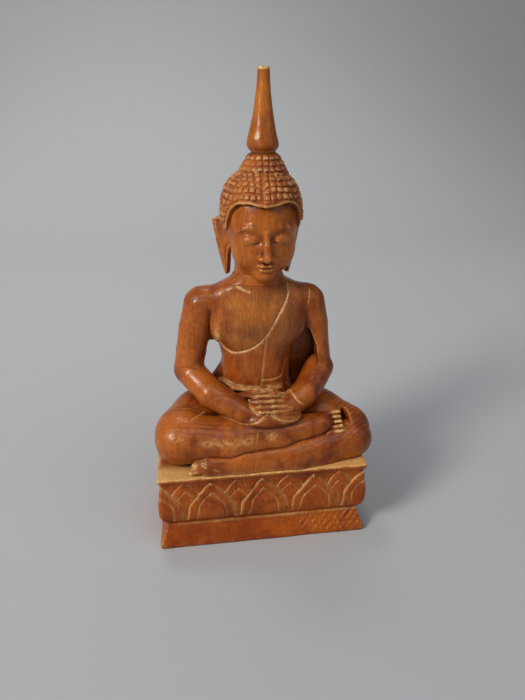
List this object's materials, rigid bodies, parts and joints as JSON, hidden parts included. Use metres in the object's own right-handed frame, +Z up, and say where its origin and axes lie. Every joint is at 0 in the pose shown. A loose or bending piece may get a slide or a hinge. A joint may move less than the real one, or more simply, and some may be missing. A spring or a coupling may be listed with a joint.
{
  "type": "seated buddha statue",
  "caption": "Carved wooden seated Buddha in meditation on a two-tier lotus base, with a turned spire plugged into the topknot.",
  "frame": {"origin": "centre of the plinth's underside, which is the face the statue stands on", "axes": "+Z up, the figure faces -Y, +X is the figure's left"},
  "size_m": [0.0891, 0.0502, 0.1804],
  "materials": {
    "base_wood": "varnished reddish-brown hardwood, satin",
    "body_wood": "varnished orange-brown hardwood, semi-gloss",
    "head_wood": "varnished orange-brown hardwood, semi-gloss",
    "finial_wood": "varnished yellow-brown turned hardwood, semi-gloss",
    "dowel_wood": "bare pale hardwood"
  },
  "bodies": {
    "statue": {"plinth": "base_wood", "lotus_pedestal": "base_wood", "figure_body": "body_wood", "head": "head_wood", "right_ear": "head_wood", "left_ear": "head_wood", "plinth_dowel_right": "dowel_wood", "plinth_dowel_left": "dowel_wood", "seat_dowel_right": "dowel_wood", "seat_dowel_left": "dowel_wood", "neck_dowel": "dowel_wood"},
    "finial": {"finial": "finial_wood"}
  },
  "joints": [
    {"name": "finial_lift", "type": "slide", "parent": "statue", "child": "finial", "axis": [0, 0, 1], "range_m": [0, 0.014]}
  ]
}
